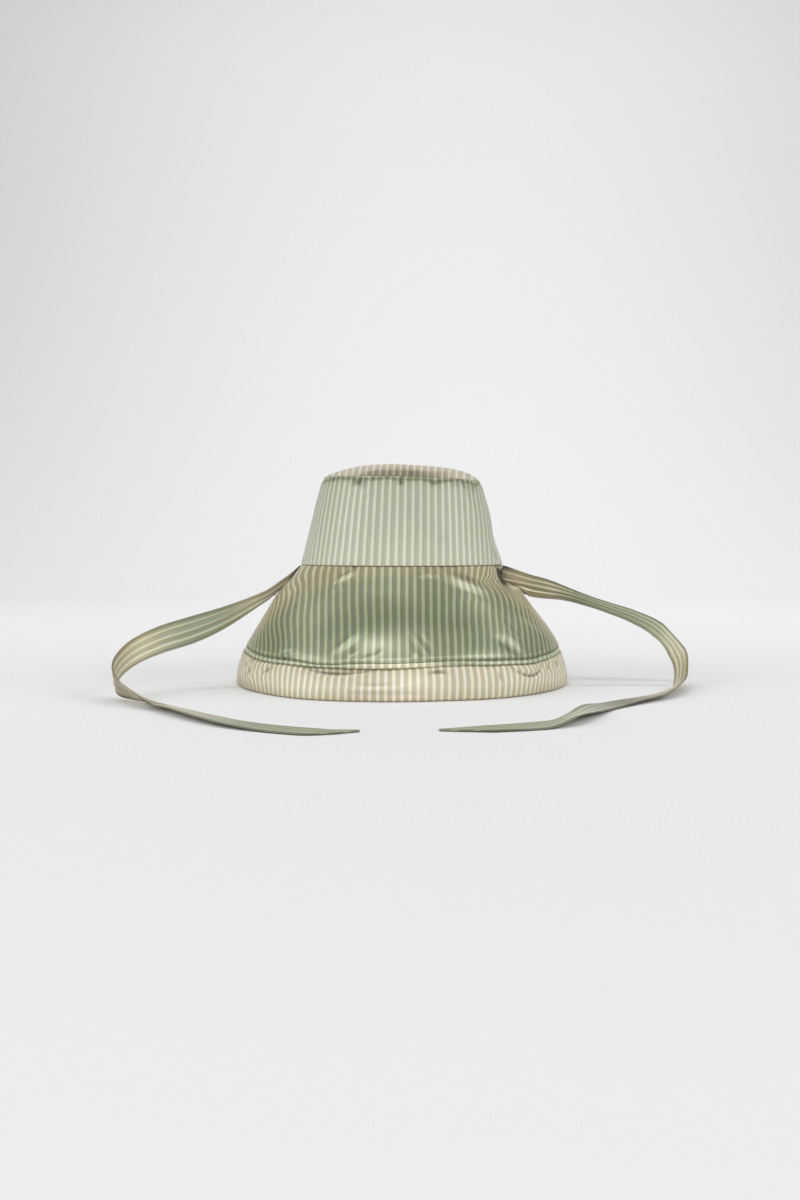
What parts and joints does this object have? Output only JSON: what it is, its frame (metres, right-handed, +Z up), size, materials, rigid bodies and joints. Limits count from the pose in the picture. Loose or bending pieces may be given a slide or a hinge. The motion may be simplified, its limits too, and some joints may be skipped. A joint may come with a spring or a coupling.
{
  "type": "chin strap sun hat",
  "caption": "Soft striped sun hat with a tapered crown, a sloping cone-shaped brim edged by a cream hem band, and ribbon chin ties sewn in below the crown",
  "frame": {"origin": "middle of the hat's base, on the surface that the brim stands on", "axes": "+Z up through the middle of the crown, the front of the hat faces -Y, +X is the wearer's left"},
  "size_m": [0.4977, 0.47, 0.2003],
  "materials": {
    "tip": "satin, sand and cream stripes",
    "crown": "satin, pale sage stripes",
    "brim": "satin, sage stripes shading to tan",
    "band": "satin, cream and beige stripes",
    "tie": "satin, lengthwise stripes shading from tan to sage"
  },
  "bodies": {
    "root": {"crown_tip": "tip", "crown_side": "crown", "brim_front": "brim", "brim_back": "brim", "brim_band": "band", "tie_left": "tie", "tie_right": "tie"}
  },
  "joints": []
}
